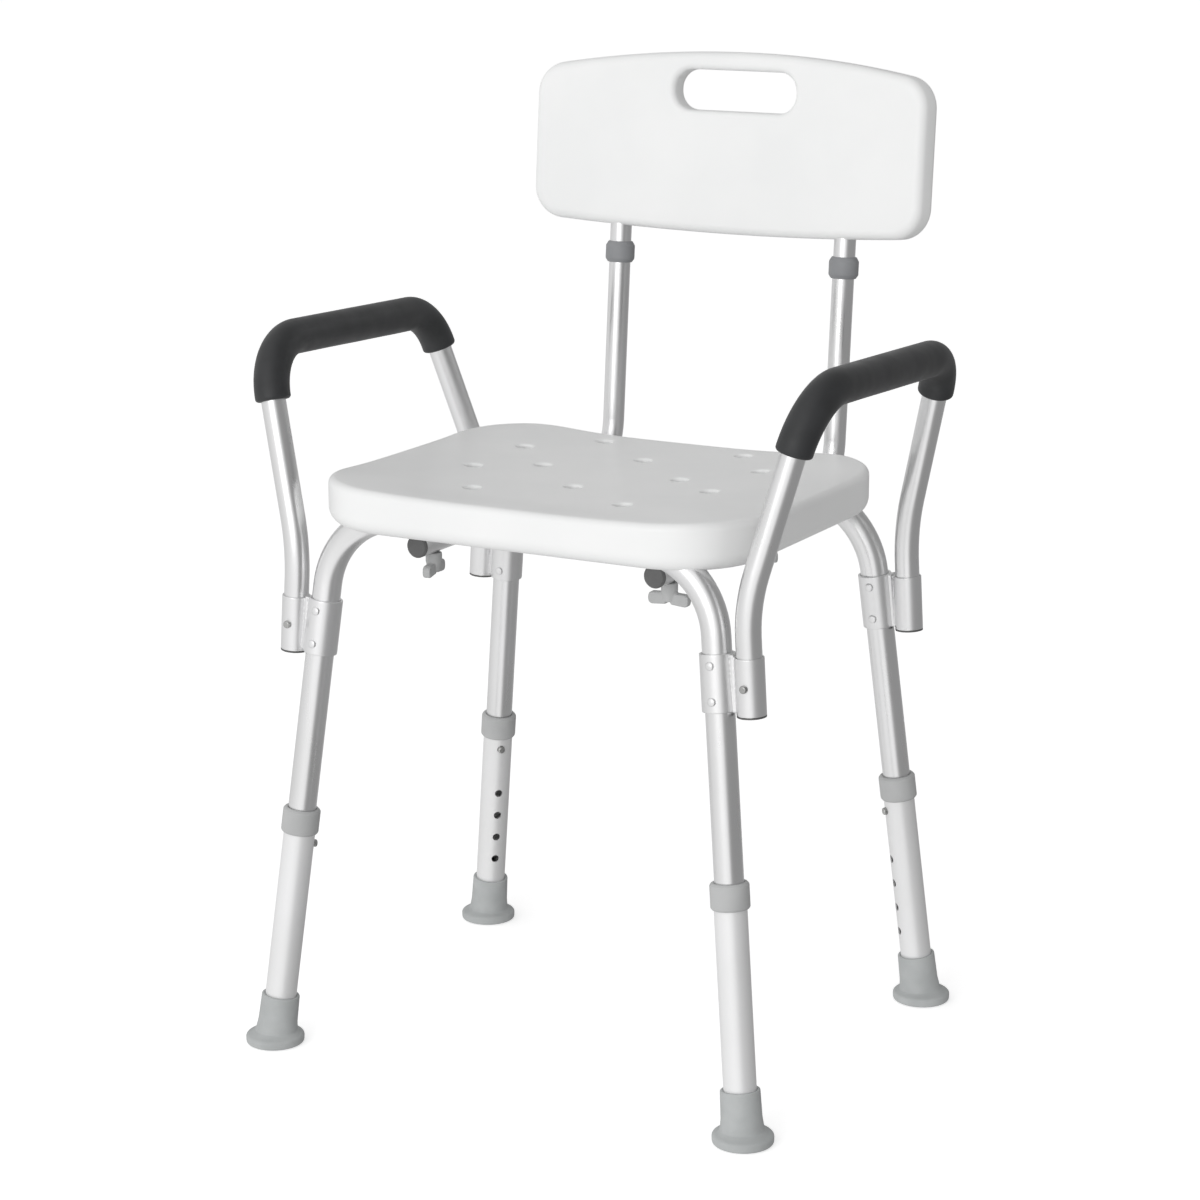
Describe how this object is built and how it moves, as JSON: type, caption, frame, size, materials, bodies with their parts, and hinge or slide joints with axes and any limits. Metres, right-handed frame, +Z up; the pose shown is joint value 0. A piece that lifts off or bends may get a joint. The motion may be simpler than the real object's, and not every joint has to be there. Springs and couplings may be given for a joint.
{
  "type": "shower chair",
  "caption": "Shower chair with a moulded perforated seat, lift-off slotted backrest, lift-out armrests with foam grips and height-adjustable splayed tube legs.",
  "frame": {"origin": "on the floor, under the centre of the whole chair's bounding box", "axes": "+Z up, the sitter faces -Y, +X to the sitter's left hand (right as seen from the front)"},
  "size_m": [0.5694, 0.5054, 0.8778],
  "materials": {
    "satin_aluminium": "satin anodised tube",
    "socket_aluminium": "satin anodised casting",
    "white_moulding": "fine-grained white moulded plastic",
    "grey_plastic": "satin",
    "grey_rubber": "matte",
    "dark_grey_plastic": "satin",
    "charcoal_foam": "closed-cell foam, satin skin",
    "stainless_steel": "satin",
    "rivet_aluminium": "satin",
    "insert_brass": "plain"
  },
  "bodies": {
    "frame": {"front_leg_frame": "satin_aluminium", "rear_leg_frame": "satin_aluminium", "seat": "white_moulding", "seat_screws": "stainless_steel", "seat_inserts": "insert_brass", "socket_rivets": "rivet_aluminium", "socket_plugs": "dark_grey_plastic", "leg_button_springs": "stainless_steel", "front_left_arm_socket": "socket_aluminium", "front_right_arm_socket": "socket_aluminium", "rear_left_arm_socket": "socket_aluminium", "rear_right_arm_socket": "socket_aluminium", "left_back_rail": "satin_aluminium", "left_rail_cap": "dark_grey_plastic", "left_back_collar": "dark_grey_plastic", "right_back_rail": "satin_aluminium", "right_rail_cap": "dark_grey_plastic", "right_back_collar": "dark_grey_plastic"},
    "front_left_leg": {"front_left_lower_leg": "satin_aluminium", "front_left_leg_collar": "grey_plastic", "front_left_rubber_tip": "grey_rubber"},
    "front_left_leg_catch": {"front_left_leg_button": "stainless_steel"},
    "front_right_leg": {"front_right_lower_leg": "satin_aluminium", "front_right_leg_collar": "grey_plastic", "front_right_rubber_tip": "grey_rubber"},
    "front_right_leg_catch": {"front_right_leg_button": "stainless_steel"},
    "rear_left_leg": {"rear_left_lower_leg": "satin_aluminium", "rear_left_leg_collar": "grey_plastic", "rear_left_rubber_tip": "grey_rubber"},
    "rear_left_leg_catch": {"rear_left_leg_button": "stainless_steel"},
    "rear_right_leg": {"rear_right_lower_leg": "satin_aluminium", "rear_right_leg_collar": "grey_plastic", "rear_right_rubber_tip": "grey_rubber"},
    "rear_right_leg_catch": {"rear_right_leg_button": "stainless_steel"},
    "left_armrest": {"left_armrest_tube": "satin_aluminium", "left_armrest_grip": "charcoal_foam", "left_arm_button_springs": "stainless_steel"},
    "front_left_arm_catch": {"front_left_arm_button": "stainless_steel"},
    "rear_left_arm_catch": {"rear_left_arm_button": "stainless_steel"},
    "right_armrest": {"right_armrest_tube": "satin_aluminium", "right_armrest_grip": "charcoal_foam", "right_arm_button_springs": "stainless_steel"},
    "front_right_arm_catch": {"front_right_arm_button": "stainless_steel"},
    "rear_right_arm_catch": {"rear_right_arm_button": "stainless_steel"},
    "back": {"backrest": "white_moulding", "backrest_screws": "stainless_steel", "back_button_springs": "stainless_steel", "left_back_post": "satin_aluminium", "right_back_post": "satin_aluminium"},
    "left_back_catch": {"left_back_button": "stainless_steel"},
    "right_back_catch": {"right_back_button": "stainless_steel"},
    "front_left_wing": {"front_left_wing_knob": "grey_plastic"},
    "front_right_wing": {"front_right_wing_knob": "grey_plastic"},
    "rear_left_wing": {"rear_left_wing_knob": "grey_plastic"},
    "rear_right_wing": {"rear_right_wing_knob": "grey_plastic"}
  },
  "joints": [
    {"name": "front_left_leg_height", "type": "slide", "parent": "frame", "child": "front_left_leg", "axis": [0.106, 0.0763, 0.9914], "range_m": [0, 0.12], "deforming": ["front_left_leg_button"]},
    {"name": "front_left_leg_catch_press", "type": "slide", "parent": "frame", "child": "front_left_leg_catch", "axis": [-0.6993, -0.7031, 0.1288], "range_m": [0, 0.005], "stiffness_N_per_m": 2000, "springref_m": -0.001},
    {"name": "front_right_leg_height", "type": "slide", "parent": "frame", "child": "front_right_leg", "axis": [-0.106, 0.0763, 0.9914], "range_m": [0, 0.12], "deforming": ["front_right_leg_button"]},
    {"name": "front_right_leg_catch_press", "type": "slide", "parent": "frame", "child": "front_right_leg_catch", "axis": [0.6993, -0.7031, 0.1288], "range_m": [0, 0.005], "stiffness_N_per_m": 2000, "springref_m": -0.001},
    {"name": "rear_left_leg_height", "type": "slide", "parent": "frame", "child": "rear_left_leg", "axis": [0.106, -0.0694, 0.9919], "range_m": [0, 0.12], "deforming": ["rear_left_leg_button"]},
    {"name": "rear_left_leg_catch_press", "type": "slide", "parent": "frame", "child": "rear_left_leg_catch", "axis": [-0.6994, 0.7039, 0.124], "range_m": [0, 0.005], "stiffness_N_per_m": 2000, "springref_m": -0.001},
    {"name": "rear_right_leg_height", "type": "slide", "parent": "frame", "child": "rear_right_leg", "axis": [-0.106, -0.0694, 0.9919], "range_m": [0, 0.12], "deforming": ["rear_right_leg_button"]},
    {"name": "rear_right_leg_catch_press", "type": "slide", "parent": "frame", "child": "rear_right_leg_catch", "axis": [0.6994, 0.7039, 0.124], "range_m": [0, 0.005], "stiffness_N_per_m": 2000, "springref_m": -0.001},
    {"name": "left_armrest_lift", "type": "slide", "parent": "frame", "child": "left_armrest", "axis": [0.061, 0, 0.9981], "range_m": [0, 0.052], "deforming": ["front_left_arm_button", "rear_left_arm_button"]},
    {"name": "front_left_arm_catch_press", "type": "slide", "parent": "left_armrest", "child": "front_left_arm_catch", "axis": [0, 1, 0], "range_m": [0, 0.0051], "stiffness_N_per_m": 2000, "springref_m": -0.001},
    {"name": "rear_left_arm_catch_press", "type": "slide", "parent": "left_armrest", "child": "rear_left_arm_catch", "axis": [0, -1, 0], "range_m": [0, 0.0051], "stiffness_N_per_m": 2000, "springref_m": -0.001},
    {"name": "right_armrest_lift", "type": "slide", "parent": "frame", "child": "right_armrest", "axis": [-0.061, 0, 0.9981], "range_m": [0, 0.052], "deforming": ["front_right_arm_button", "rear_right_arm_button"]},
    {"name": "front_right_arm_catch_press", "type": "slide", "parent": "right_armrest", "child": "front_right_arm_catch", "axis": [0, 1, 0], "range_m": [0, 0.0051], "stiffness_N_per_m": 2000, "springref_m": -0.001},
    {"name": "rear_right_arm_catch_press", "type": "slide", "parent": "right_armrest", "child": "rear_right_arm_catch", "axis": [0, -1, 0], "range_m": [0, 0.0051], "stiffness_N_per_m": 2000, "springref_m": -0.001},
    {"name": "backrest_lift", "type": "slide", "parent": "frame", "child": "back", "axis": [0, 0.0802, 0.9968], "range_m": [0, 0.057], "deforming": ["left_back_button", "right_back_button"]},
    {"name": "left_back_catch_press", "type": "slide", "parent": "back", "child": "left_back_catch", "axis": [0, -0.9968, 0.0802], "range_m": [0, 0.0049], "stiffness_N_per_m": 2000, "springref_m": -0.001},
    {"name": "right_back_catch_press", "type": "slide", "parent": "back", "child": "right_back_catch", "axis": [0, -0.9968, 0.0802], "range_m": [0, 0.0049], "stiffness_N_per_m": 2000, "springref_m": -0.001},
    {"name": "front_left_wing_turn", "type": "hinge", "parent": "frame", "child": "front_left_wing", "pos_m": [-0.1185, -0.13366, 0.45675], "axis": [0, 0, 1], "continuous": true},
    {"name": "front_right_wing_turn", "type": "hinge", "parent": "frame", "child": "front_right_wing", "pos_m": [0.1185, -0.13366, 0.45675], "axis": [0, 0, 1], "continuous": true},
    {"name": "rear_left_wing_turn", "type": "hinge", "parent": "frame", "child": "rear_left_wing", "pos_m": [-0.1185, 0.06334, 0.45675], "axis": [0, 0, 1], "continuous": true},
    {"name": "rear_right_wing_turn", "type": "hinge", "parent": "frame", "child": "rear_right_wing", "pos_m": [0.1185, 0.06334, 0.45675], "axis": [0, 0, 1], "continuous": true}
  ]
}
